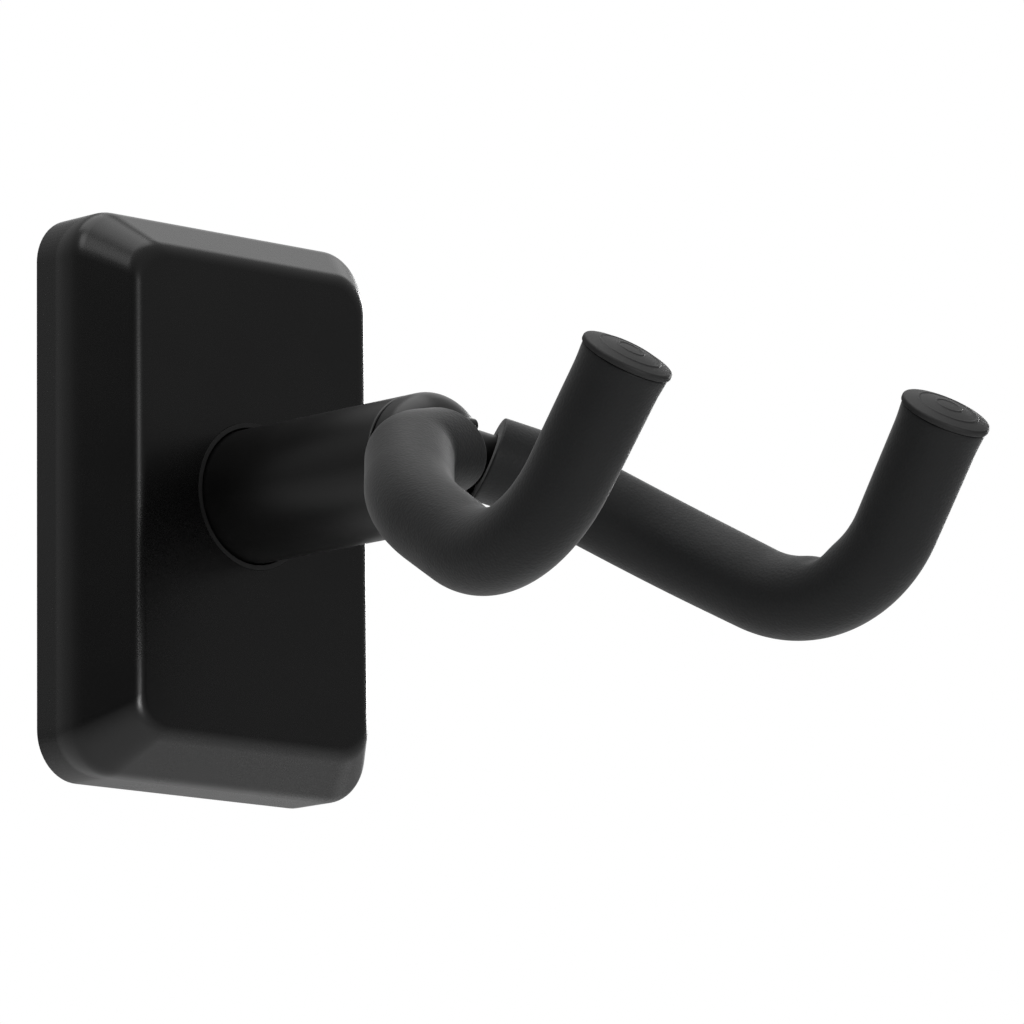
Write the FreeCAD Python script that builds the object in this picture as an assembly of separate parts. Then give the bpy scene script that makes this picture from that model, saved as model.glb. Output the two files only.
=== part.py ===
import FreeCAD, Part

import math
import os

from FreeCAD import Vector

os.makedirs("parts", exist_ok=True)

# Wall guitar hanger. Millimetres. The wall is the plane Y = 0 and the hanger stands out along -Y.
# +X is to the right seen from the front, +Z is up, and the origin is on the wall, at the centre of
# the wall plate's screw pattern. A depth is a distance from the wall, along -Y.

# --- driving dimensions: cover and wall plate ---------------------------------------------------
COVER_WIDTH = 72.2
COVER_HEIGHT = 107.0
COVER_DEPTH = 20.7
COVER_SIDE_DEPTH = 11.4          # straight side wall, before the chamfer starts
COVER_CHAMFER = 7.4              # how far the front face stands in from the side walls
COVER_CORNER_R = 9.3
COVER_WALL = 2.4
COVER_WALL_GAP = 0.3             # back edge stays this far off the wall
COVER_SHOULDER_R = 3.2           # round-over where side wall meets chamfer
COVER_FACE_R = 1.3               # round-over where chamfer meets front face
STOP_POST_R = 2.4                # posts inside the cover that rest on the wall plate
STOP_POST_GAP = 0.1
STOP_POST_X = 27.0
STOP_POST_Z = 22.0

PLATE_THICK = 3.0
PLATE_MARGIN = 3.6               # wall plate stands in from the cover's outside by this much
SCREW_SPACING_X = 40.0
SCREW_SPACING_Z = 76.0
SCREW_HOLE_R = 2.75
SCREW_SINK_R = 5.2
ACCESS_HOLE_R = 9.5              # lets a socket reach the lock nut from behind

CLIP_STRIP = 0.8                 # spring clips that hold the cover: thickness of the strip
CLIP_WIDTH = 14.0
CLIP_LEG = 6.5                   # how far the leg stands out from the plate
CLIP_KNEE = 3.5                  # height of the leg's widest point
CLIP_GAP = 0.4                   # between the leg and the cover's wall
CLIP_FOOT_Z = COVER_HEIGHT / 2 - PLATE_MARGIN - 12.0
RIVET_Z = CLIP_FOOT_Z + 4.0
RIVET_X = 3.5
RIVET_R = 1.2
RIVET_HEAD_R = 2.2
RIVET_HEAD = 0.9

# --- driving dimensions: post and swivel --------------------------------------------------------
POST_Z = 1.1                     # the post's axis is this far above the plate's centre
POST_R = 12.7                    # 25.4 mm tube
POST_BORE_R = 10.7
POST_FRONT = 66.0
POST_RIM_R = 0.5
POST_WELD_LEG = 2.6
RUN_GAP = 0.3                    # gap between curved faces that move past each other
SEAM = 0.4                       # visible seam between post and swivel head
PRESS_GAP = 0.05                 # clearance of a press fit or a running shaft, on the radius

GROMMET_BORE_R = POST_R + RUN_GAP
GROMMET_NECK_R = GROMMET_BORE_R + 1.2
GROMMET_LIP_R = GROMMET_NECK_R + 0.5
GROMMET_LIP = 0.7
GROMMET_BACK = 1.4               # thickness of the wide lip behind the cover's face
GROMMET_BACK_R = GROMMET_LIP_R + 1.6

STUD_R = 4.0
STUD_BACK = 42.0
STUD_FRONT = 71.6
BUSH_R = 5.0
PLUG_LENGTH = 12.0
PLUG_BACK = POST_FRONT - PLUG_LENGTH
PIN_R = 1.0
PIN_CIRCLE_R = 8.9
PIN_BACK = POST_FRONT - 3.4
PIN_FRONT = 68.6
PIN_SLOT_DEPTH = 4.0
SWIVEL_RANGE = 30.0              # degrees each way
WASHER_THICK = 1.0
WASHER_R = 7.2
HEAD_BACK = POST_FRONT + SEAM
WASHER_POCKET = 0.7
STACK_FRONT = PLUG_BACK - 0.1    # spring washer, flat washer and nut, from here towards the wall
SPRING_RISE = 1.2
SPRING_STRIP = 0.6
SPRING_R = 8.5
FLAT_THICK = 1.6
FLAT_R = 8.0
NUT_FLATS = 13.0
NUT_ROUND_R = 7.2
NUT_THICK = 5.6
COLLAR_R = 6.0
INSERT_R = 5.2
INSERT_THICK = 2.0
NUT_FRONT = STACK_FRONT - SPRING_RISE - FLAT_THICK
NUT_BACK = NUT_FRONT - NUT_THICK

HEAD_STRAIGHT_END = 69.1
HEAD_NOSE = 76.3

# --- driving dimensions: yoke -------------------------------------------------------------------
ROD_R = 4.5
ROD_MIDDLE_DEPTH = 76.9          # the rod's own middle, where both arms meet
ROD_MIDDLE_RISE = 1.0            # above the post's axis
FOAM_R = 8.0
FOAM_BORE_R = 4.6
FOAM_START = 6.1                 # distance along an arm from its middle to the foam's slanting end
FOAM_OVERRUN = 4.5               # foam that is swept first and then cut off on the slant
CAP_R = 8.4
CAP_THICK = 2.2
CAP_FLANGE = 1.2
CAP_STEM_R = 2.5
CAP_STEM_LENGTH = 11.0
CAP_SEAT = CAP_THICK - 1.0       # flange base stands this far before the arm's end point
STEM_END_GAP = 0.6
WELD_LEG = 1.5
WELD_HALF = 2.6
WELD_ANGLE = 100.0               # degrees round the rod from its rear, above and below

# Corners of the right arm's centreline from the middle to the tip, with the post's height taken
# off, and the bend radius at each corner. The first radius is at the middle, between both arms.
ARM_CORNERS = [
    (0.0, -ROD_MIDDLE_DEPTH, ROD_MIDDLE_RISE),
    (16.1, -80.7, -2.4),
    (32.6, -98.2, -15.9),
    (41.8, -134.6, -36.1),
    (39.8, -161.2, 1.0),
]
MIDDLE_BEND_R = 12.0
ARM_BEND_RADII = [10.5, 43.8, 24.4]
FOAM_CUT = (0.78, -0.50, -0.37)  # direction square to the slanting end of the right sleeve

FRONT = Vector(0, -1, 0)
BACK = Vector(0, 1, 0)
MIDDLE_PLANE = Vector(1, 0, 0)
MIDDLE = Vector(0, 0, 0)
TOLERANCE = 0.01


# --- small helpers ------------------------------------------------------------------------------
def cylinder_y(radius, depth_from, depth_to, x=0.0, z=0.0):
    """Cylinder along -Y between two depths."""
    return Part.makeCylinder(radius, depth_to - depth_from, Vector(x, -depth_from, z), FRONT)


def ring_y(outer, inner, depth_from, depth_to):
    """Tube along -Y between two depths."""
    return cylinder_y(outer, depth_from, depth_to).cut(cylinder_y(inner, depth_from, depth_to))


def revolved_y(outline):
    """Turn a closed outline of (radius, depth) corners about the Y axis."""
    points = [Vector(radius, -depth, 0) for radius, depth in outline]
    face = Part.Face(Part.makePolygon(points + points[:1]))
    return face.revolve(MIDDLE, BACK, 360)


def domed_bar(radius, depth_from, dome_from, depth_to):
    """Round bar along -Y whose front end is half of a flattened ball."""
    dome = Part.Ellipse(FRONT * dome_from, radius, depth_to - dome_from)
    corners = [FRONT * depth_to, FRONT * depth_from, Vector(radius, -depth_from, 0), Vector(radius, -dome_from, 0)]
    edges = [Part.makeLine(start, end) for start, end in zip(corners, corners[1:])]
    edges.append(Part.ArcOfEllipse(dome, 1.5 * math.pi, 2 * math.pi).toShape())
    return Part.Face(Part.Wire(edges)).revolve(MIDDLE, BACK, 360)


def hexagon_y(across_flats, depth_from, depth_to):
    """Hexagonal prism along -Y."""
    radius = across_flats / math.sqrt(3)
    points = []
    for corner in range(7):
        angle = math.radians(60 * corner)
        points.append(Vector(radius * math.cos(angle), -depth_from, radius * math.sin(angle)))
    return Part.Face(Part.makePolygon(points)).extrude(FRONT * (depth_to - depth_from))


def rounded_block(width, height, corner_r, depth_from, depth_to):
    """Block whose four edges square to the wall are rounded, between two depths."""
    box = Part.makeBox(width, depth_to - depth_from, height,
                       Vector(-width / 2, -depth_to, -height / 2))
    edges = [edge for edge in box.Edges if abs(edge.tangentAt(edge.FirstParameter).y) > 0.99]
    return box.makeFillet(corner_r, edges)


def rounded_frame(width, height, corner_r, depth):
    """Closed rounded-rectangle wire in the plane at one depth."""
    block = rounded_block(width, height, corner_r, depth, depth + 1.0)
    back_face = max(block.Faces, key=lambda face: face.CenterOfMass.y)
    return back_face.OuterWire


def rim_edges(shape, depth, radius):
    """The full circle of one radius that lies in the plane at one depth."""
    around = 2 * math.pi * radius
    return [edge for edge in shape.Edges
            if abs(edge.CenterOfMass.y + depth) < TOLERANCE and abs(edge.Length - around) < 0.1]


def mirrored(shape):
    """The same shape on the other side of the hanger's middle plane."""
    return shape.mirror(MIDDLE, MIDDLE_PLANE)


def raised(shape):
    """The shape moved from the plate's centre up to the post's axis."""
    moved = shape.copy()
    moved.translate(Vector(0, 0, POST_Z))
    return moved


def save(node, shape):
    """Write one node's STEP file and report its volume."""
    if not shape.isValid() or shape.Volume <= 0:
        raise ValueError(node + " is not a valid shape")
    shape.exportStep("parts/" + node + ".step")
    print(f"{node:22s} solids {len(shape.Solids)}  volume {shape.Volume:10.1f}")


# --- wall plate and post ------------------------------------------------------------------------
def screw_places():
    """Centres of the four wall screws, as (x, z)."""
    return [(sx * SCREW_SPACING_X / 2, sz * SCREW_SPACING_Z / 2) for sx in (-1, 1) for sz in (-1, 1)]


def make_wall_plate():
    """Steel plate with four countersunk screw holes and a socket hole behind the post."""
    width = COVER_WIDTH - 2 * PLATE_MARGIN
    height = COVER_HEIGHT - 2 * PLATE_MARGIN
    plate = rounded_block(width, height, COVER_CORNER_R - PLATE_MARGIN, 0.0, PLATE_THICK)
    plate = plate.cut(cylinder_y(ACCESS_HOLE_R, 0.0, PLATE_THICK, 0.0, POST_Z))
    sink_depth = SCREW_SINK_R - SCREW_HOLE_R
    for x, z in screw_places():
        plate = plate.cut(cylinder_y(SCREW_HOLE_R, 0.0, PLATE_THICK, x, z))
        sink = Part.makeCone(SCREW_HOLE_R, SCREW_SINK_R, sink_depth,
                             Vector(x, -(PLATE_THICK - sink_depth), z), FRONT)
        plate = plate.cut(sink)
    return plate


def make_post_tube():
    """Round tube that carries the swivel, open at both ends."""
    tube = ring_y(POST_R, POST_BORE_R, PLATE_THICK, POST_FRONT)
    return tube.makeFillet(POST_RIM_R, rim_edges(tube, POST_FRONT, POST_R))


def make_post_weld():
    """Fillet weld bead round the foot of the post."""
    return revolved_y([
        (POST_R, PLATE_THICK),
        (POST_R + POST_WELD_LEG, PLATE_THICK),
        (POST_R, PLATE_THICK + POST_WELD_LEG),
    ])


# --- cover --------------------------------------------------------------------------------------
def cover_body(inset, back, side_depth, depth):
    """Solid with the cover's outline: straight sides, then a chamfer up to the front face."""
    width = COVER_WIDTH - 2 * inset
    height = COVER_HEIGHT - 2 * inset
    corner = COVER_CORNER_R - inset
    straight = rounded_block(width, height, corner, back, side_depth)
    shoulder = rounded_frame(width, height, corner, side_depth)
    face_corner = max(corner - COVER_CHAMFER * 0.5, 2.0)
    face = rounded_frame(width - 2 * COVER_CHAMFER, height - 2 * COVER_CHAMFER, face_corner, depth)
    chamfer = Part.makeLoft([shoulder, face], True, True)
    return straight.fuse(chamfer).removeSplitter()


def edges_at_depth(shape, depth):
    """Edges that lie wholly in the plane at one depth."""
    return [edge for edge in shape.Edges
            if all(abs(vertex.Point.y + depth) < TOLERANCE for vertex in edge.Vertexes)]


def make_plate_cover():
    """Moulded shell: open at the back, with a hole for the grommet and four stop posts inside."""
    outer = cover_body(0.0, COVER_WALL_GAP, COVER_SIDE_DEPTH, COVER_DEPTH)
    outer = outer.makeFillet(COVER_SHOULDER_R, edges_at_depth(outer, COVER_SIDE_DEPTH))
    outer = outer.makeFillet(COVER_FACE_R, edges_at_depth(outer, COVER_DEPTH))
    inside_front = COVER_DEPTH - COVER_WALL
    inner = cover_body(COVER_WALL, COVER_WALL_GAP, COVER_SIDE_DEPTH - 1.0, inside_front)
    shell = outer.cut(inner)
    for x in (-STOP_POST_X, STOP_POST_X):
        for z in (-STOP_POST_Z, STOP_POST_Z):
            post = cylinder_y(STOP_POST_R, PLATE_THICK + STOP_POST_GAP, inside_front + 0.5, x, z)
            shell = shell.fuse(post)
    hole = cylinder_y(GROMMET_NECK_R, 0.0, COVER_DEPTH + 1.0, 0.0, POST_Z)
    return shell.cut(hole).removeSplitter()


def make_cover_grommet():
    """Rubber ring that lines the cover's hole, with a slim lip in front and a wider one behind."""
    front = COVER_DEPTH
    behind = COVER_DEPTH - COVER_WALL
    return revolved_y([
        (GROMMET_BORE_R, behind - GROMMET_BACK),
        (GROMMET_BACK_R, behind - GROMMET_BACK),
        (GROMMET_BACK_R, behind),
        (GROMMET_NECK_R, behind),
        (GROMMET_NECK_R, front),
        (GROMMET_LIP_R, front),
        (GROMMET_LIP_R, front + GROMMET_LIP * 0.4),
        (GROMMET_LIP_R - 0.4, front + GROMMET_LIP),
        (GROMMET_BORE_R, front + GROMMET_LIP),
    ])


def make_cover_clips():
    """Two bent spring strips on the wall plate; each one's leg stands just inside the cover's wall."""
    base = PLATE_THICK
    leg_z = COVER_HEIGHT / 2 - COVER_WALL - CLIP_GAP
    shin_z = leg_z - 2.6
    tip_z = leg_z - 1.6
    outline = [
        Vector(0, -base, CLIP_FOOT_Z),
        Vector(0, -base, shin_z),
        Vector(0, -(base + CLIP_KNEE), leg_z),
        Vector(0, -(base + CLIP_LEG), tip_z),
        Vector(0, -(base + CLIP_LEG), tip_z - CLIP_STRIP),
        Vector(0, -(base + CLIP_KNEE), leg_z - CLIP_STRIP * 1.2),
        Vector(0, -(base + CLIP_STRIP), shin_z - CLIP_STRIP * 0.5),
        Vector(0, -(base + CLIP_STRIP), CLIP_FOOT_Z),
        Vector(0, -base, CLIP_FOOT_Z),
    ]
    clip = Part.Face(Part.makePolygon(outline)).extrude(Vector(CLIP_WIDTH, 0, 0))
    clip.translate(Vector(-CLIP_WIDTH / 2, 0, 0))
    for x in (-RIVET_X, RIVET_X):
        clip = clip.cut(cylinder_y(RIVET_R + PRESS_GAP, base, base + CLIP_STRIP, x, RIVET_Z))
    lower = clip.mirror(MIDDLE, Vector(0, 0, 1))
    return Part.makeCompound([clip, lower])


def make_clip_rivets():
    """Rivets with low conical heads that hold the two clips to the wall plate."""
    rivets = []
    base = PLATE_THICK
    top = base + CLIP_STRIP
    for z in (-RIVET_Z, RIVET_Z):
        for x in (-RIVET_X, RIVET_X):
            shank = cylinder_y(RIVET_R, base, top, x, z)
            head = Part.makeCone(RIVET_HEAD_R, RIVET_R + 0.2, RIVET_HEAD, Vector(x, -top, z), FRONT)
            rivets.append(shank.fuse(head).removeSplitter())
    return Part.makeCompound(rivets)


# --- swivel -------------------------------------------------------------------------------------
def make_post_plug():
    """Steel plug in the end of the post, with the pivot bore and an arc slot for the stop pin."""
    plug = ring_y(POST_BORE_R, BUSH_R, PLUG_BACK, POST_FRONT)
    slot_half = PIN_R + RUN_GAP
    slot = ring_y(PIN_CIRCLE_R + slot_half, PIN_CIRCLE_R - slot_half,
                  POST_FRONT - PIN_SLOT_DEPTH, POST_FRONT)
    reach = 2 * POST_R
    margin = math.degrees(slot_half / PIN_CIRCLE_R)
    half_angle = math.radians(SWIVEL_RANGE + margin)
    wedge = Part.Face(Part.makePolygon([
        Vector(0, -POST_FRONT, 0),
        Vector(-reach * math.sin(half_angle), -POST_FRONT, reach * math.cos(half_angle)),
        Vector(reach * math.sin(half_angle), -POST_FRONT, reach * math.cos(half_angle)),
        Vector(0, -POST_FRONT, 0),
    ])).extrude(BACK * PIN_SLOT_DEPTH)
    return plug.cut(slot.common(wedge))


def make_pivot_bush():
    """Bronze bush pressed into the plug."""
    return ring_y(BUSH_R, STUD_R + PRESS_GAP, PLUG_BACK, POST_FRONT)


def make_thrust_washer():
    """Nylon washer in a pocket of the head; it slides on the plug's front face."""
    front = HEAD_BACK + WASHER_POCKET
    return ring_y(WASHER_R, STUD_R, front - WASHER_THICK, front)


def make_swivel_head():
    """Nose on the end of the post, hollowed on both sides where the foam sleeves lie against it."""
    head = domed_bar(POST_R, HEAD_BACK, HEAD_STRAIGHT_END, HEAD_NOSE)
    head = head.makeFillet(POST_RIM_R, rim_edges(head, HEAD_BACK, POST_R))
    head = head.cut(cylinder_y(WASHER_R + PRESS_GAP * 2, HEAD_BACK, HEAD_BACK + WASHER_POCKET))
    head = head.cut(cylinder_y(STUD_R, HEAD_BACK, STUD_FRONT))
    head = head.cut(cylinder_y(PIN_R, HEAD_BACK, PIN_FRONT, 0, PIN_CIRCLE_R))
    corners = arm_corners()
    away = (corners[1] - corners[0]).normalize()
    room = Part.makeCylinder(FOAM_R + RUN_GAP, 2 * POST_R, corners[0] + away * (FOAM_START - FOAM_OVERRUN), away)
    room = room.cut(slant_waste(FOAM_START - RUN_GAP))
    return head.cut(room).cut(mirrored(room)).cut(ROD)


def make_swivel_stud():
    """Steel stud fixed in the head; it runs in the bush and carries the spring stack and nut."""
    stud = cylinder_y(STUD_R, STUD_BACK, STUD_FRONT)
    return stud.makeChamfer(0.6, rim_edges(stud, STUD_BACK, STUD_R)).cut(ROD)


def make_stop_pin():
    """Pin fixed in the head's back face; it travels in the plug's arc slot."""
    return cylinder_y(PIN_R, PIN_BACK, PIN_FRONT, 0, PIN_CIRCLE_R)


def make_spring_washer():
    """Conical spring washer that presses the head back against the post."""
    return revolved_y([
        (STUD_R, STACK_FRONT - SPRING_RISE),
        (SPRING_R, STACK_FRONT - SPRING_STRIP),
        (SPRING_R, STACK_FRONT),
        (STUD_R, STACK_FRONT - (SPRING_RISE - SPRING_STRIP)),
    ])


def make_flat_washer():
    """Plain washer under the nut."""
    return ring_y(FLAT_R, STUD_R, NUT_FRONT, NUT_FRONT + FLAT_THICK)


def make_lock_nut():
    """Hexagon nut with a round collar that holds the nylon ring."""
    body = hexagon_y(NUT_FLATS, NUT_BACK, NUT_FRONT).common(cylinder_y(NUT_ROUND_R, NUT_BACK, NUT_FRONT))
    collar = cylinder_y(COLLAR_R, NUT_BACK - INSERT_THICK, NUT_BACK)
    nut = body.fuse(collar).cut(cylinder_y(STUD_R, NUT_BACK - INSERT_THICK, NUT_FRONT))
    return nut.cut(cylinder_y(INSERT_R, NUT_BACK - INSERT_THICK, NUT_BACK)).removeSplitter()


def make_nut_insert():
    """Nylon ring in the nut's collar."""
    return ring_y(INSERT_R, STUD_R, NUT_BACK - INSERT_THICK, NUT_BACK)


# --- yoke ---------------------------------------------------------------------------------------
def bent_path(corners, radii, start_trim=0.0, end_trim=0.0):
    """Straight runs joined by tangent arcs, from the first corner to the last."""
    first = corners[0] + (corners[1] - corners[0]).normalize() * start_trim
    last = corners[-1] + (corners[-2] - corners[-1]).normalize() * end_trim
    edges = []
    cursor = first
    for index, radius in enumerate(radii, start=1):
        corner = corners[index]
        to_back = (corners[index - 1] - corner).normalize()
        to_next = (corners[index + 1] - corner).normalize()
        half = to_back.getAngle(to_next) / 2
        run_out = radius / math.tan(half)
        arc_start = corner + to_back * run_out
        arc_end = corner + to_next * run_out
        middle_way = (to_back + to_next).normalize()
        arc_middle = corner + middle_way * (radius / math.sin(half) - radius)
        edges.append(Part.makeLine(cursor, arc_start))
        edges.append(Part.Arc(arc_start, arc_middle, arc_end).toShape())
        cursor = arc_end
    edges.append(Part.makeLine(cursor, last))
    return Part.Wire(edges)


def swept(path, radius):
    """Round bar of one radius along a path."""
    start = path.Edges[0]
    origin = start.valueAt(start.FirstParameter)
    direction = start.tangentAt(start.FirstParameter)
    profile = Part.Wire(Part.makeCircle(radius, origin, direction))
    return path.makePipeShell([profile], True, False)


def arm_corners():
    """Corners of the right arm's centreline as vectors."""
    return [Vector(*corner) for corner in ARM_CORNERS]


def tip_frame():
    """End point of the right arm and the direction it points in."""
    corners = arm_corners()
    return corners[-1], (corners[-1] - corners[-2]).normalize()


def slant_waste(start):
    """What is cut off the inner end of a bar along the right arm, up to a slanting plane."""
    corners = arm_corners()
    away = (corners[1] - corners[0]).normalize()
    cut = Vector(*FOAM_CUT).normalize()
    return Part.makeCylinder(3 * FOAM_R, 2 * FOAM_R, corners[0] + away * start, cut * -1)


def arm_sleeve(radius, start_trim):
    """Round bar along the right arm from its first run up to the cap."""
    return swept(bent_path(arm_corners(), ARM_BEND_RADII, start_trim, CAP_SEAT), radius)


def make_yoke_rod():
    """One bent rod: both arms, which meet in the head's nose, with a bore in each tip."""
    right = arm_corners()
    left = [Vector(-p.x, p.y, p.z) for p in reversed(right[1:])]
    radii = ARM_BEND_RADII[::-1] + [MIDDLE_BEND_R] + ARM_BEND_RADII
    rod = swept(bent_path(left + right, radii, CAP_SEAT, CAP_SEAT), ROD_R)
    tip, out = tip_frame()
    bore = Part.makeCylinder(CAP_STEM_R, CAP_STEM_LENGTH + STEM_END_GAP, tip - out * CAP_SEAT, out * -1)
    return rod.cut(bore).cut(mirrored(bore))


def make_foam_sleeve():
    """Foam tube on the right arm, cut on a slant near the nose and square at the cap."""
    start_trim = FOAM_START - FOAM_OVERRUN
    tube = arm_sleeve(FOAM_R, start_trim).cut(arm_sleeve(FOAM_BORE_R, start_trim))
    return tube.cut(slant_waste(FOAM_START))


def make_end_cap():
    """Rubber cap on the right arm: domed flange and a stem that presses into the rod."""
    tip, out = tip_frame()
    seat = tip - out * CAP_SEAT
    flange = Part.makeCylinder(CAP_R, CAP_FLANGE, seat, out)
    dome_height = CAP_THICK - CAP_FLANGE
    dome_radius = (CAP_R ** 2 + dome_height ** 2) / (2 * dome_height)
    ball = Part.makeSphere(dome_radius, seat + out * (CAP_THICK - dome_radius))
    dome = ball.common(Part.makeCylinder(CAP_R, CAP_THICK, seat + out * CAP_FLANGE, out))
    stem = Part.makeCylinder(CAP_STEM_R, CAP_STEM_LENGTH, seat, out * -1)
    return flange.fuse(dome).fuse(stem).removeSplitter()


def make_yoke_weld():
    """Two weld beads where the rod lies in the head's nose, above and below."""
    angle = math.radians(WELD_ANGLE)
    beads = []
    for side in (-1, 1):
        centre = Vector(-WELD_HALF, -ROD_MIDDLE_DEPTH + ROD_R * math.cos(angle),
                        ROD_MIDDLE_RISE + side * ROD_R * math.sin(angle))
        bead = Part.makeCylinder(WELD_LEG, 2 * WELD_HALF, centre, Vector(1, 0, 0))
        bead = bead.cut(ROD).cut(SWIVEL_HEAD).cut(FOAM_SLEEVE).cut(mirrored(FOAM_SLEEVE))
        beads.append(bead)
    return Part.makeCompound([solid for bead in beads for solid in bead.Solids])


# --- write every node ---------------------------------------------------------------------------
ROD = make_yoke_rod()
SWIVEL_HEAD = make_swivel_head()
FOAM_SLEEVE = make_foam_sleeve()
END_CAP = make_end_cap()

PLATE_NODES = {
    "wall_plate": make_wall_plate(),
    "plate_cover": make_plate_cover(),
    "cover_clips": make_cover_clips(),
    "clip_rivets": make_clip_rivets(),
}
POST_NODES = {
    "post_tube": make_post_tube(),
    "post_weld": make_post_weld(),
    "cover_grommet": make_cover_grommet(),
    "post_plug": make_post_plug(),
    "pivot_bush": make_pivot_bush(),
    "swivel_head": SWIVEL_HEAD,
    "swivel_stud": make_swivel_stud(),
    "stop_pin": make_stop_pin(),
    "thrust_washer": make_thrust_washer(),
    "spring_washer": make_spring_washer(),
    "flat_washer": make_flat_washer(),
    "lock_nut": make_lock_nut(),
    "lock_nut_insert": make_nut_insert(),
    "yoke_rod": ROD,
    "yoke_weld": make_yoke_weld(),
    "foam_sleeve_right": FOAM_SLEEVE,
    "foam_sleeve_left": mirrored(FOAM_SLEEVE),
    "end_cap_right": END_CAP,
    "end_cap_left": mirrored(END_CAP),
}
for name, plate_shape in PLATE_NODES.items():
    save(name, plate_shape)
for name, post_shape in POST_NODES.items():
    save(name, raised(post_shape))
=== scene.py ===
import logging
import math
from dataclasses import dataclass, field
from enum import Enum

import bmesh
import bpy
import numpy as np
from mathutils import Matrix, Vector


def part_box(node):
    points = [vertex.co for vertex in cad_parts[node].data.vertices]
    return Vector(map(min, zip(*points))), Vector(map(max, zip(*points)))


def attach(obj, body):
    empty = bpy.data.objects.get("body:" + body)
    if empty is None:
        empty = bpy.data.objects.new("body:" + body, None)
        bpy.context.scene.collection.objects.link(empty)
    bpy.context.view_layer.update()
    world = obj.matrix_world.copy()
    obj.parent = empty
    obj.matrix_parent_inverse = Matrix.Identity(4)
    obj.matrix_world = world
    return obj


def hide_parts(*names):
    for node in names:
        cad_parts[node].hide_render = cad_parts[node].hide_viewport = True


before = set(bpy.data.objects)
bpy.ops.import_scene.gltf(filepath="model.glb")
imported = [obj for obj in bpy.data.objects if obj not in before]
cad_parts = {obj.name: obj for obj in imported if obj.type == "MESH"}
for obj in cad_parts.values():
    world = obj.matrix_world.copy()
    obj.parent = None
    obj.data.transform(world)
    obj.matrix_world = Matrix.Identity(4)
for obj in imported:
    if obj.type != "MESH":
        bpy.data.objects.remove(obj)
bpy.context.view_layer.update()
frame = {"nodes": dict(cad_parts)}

LOG = logging.getLogger("wall_guitar_hanger")
MM = 0.001
FORWARD = Vector((0.0, -1.0, 0.0))
SAME_POINT = 1e-7          # points closer than this, in metres, are merged


# ---------------------------------------------------------------------------------------------
# Shader maths
# ---------------------------------------------------------------------------------------------
class Value:
    """A shader socket that carries a number and can be used in arithmetic."""

    def __init__(self, graph: "Graph", socket: bpy.types.NodeSocket) -> None:
        """Keep the socket and the graph that new Math nodes go into."""
        self.graph = graph
        self.socket = socket

    def __add__(self, other: "Value | float") -> "Value":
        """Sum of the two."""
        return self.graph.math("ADD", self, other)

    def __sub__(self, other: "Value | float") -> "Value":
        """This minus the other."""
        return self.graph.math("SUBTRACT", self, other)

    def __rsub__(self, other: float) -> "Value":
        """The other minus this."""
        return self.graph.math("SUBTRACT", other, self)

    def __mul__(self, other: "Value | float") -> "Value":
        """Product of the two."""
        return self.graph.math("MULTIPLY", self, other)

    def __truediv__(self, other: "Value | float") -> "Value":
        """This over the other."""
        return self.graph.math("DIVIDE", self, other)

    __radd__ = __add__
    __rmul__ = __mul__

    def clamped(self) -> "Value":
        """This held between 0 and 1."""
        return self.graph.math("MINIMUM", self.graph.math("MAXIMUM", self, 0.0), 1.0)


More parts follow.
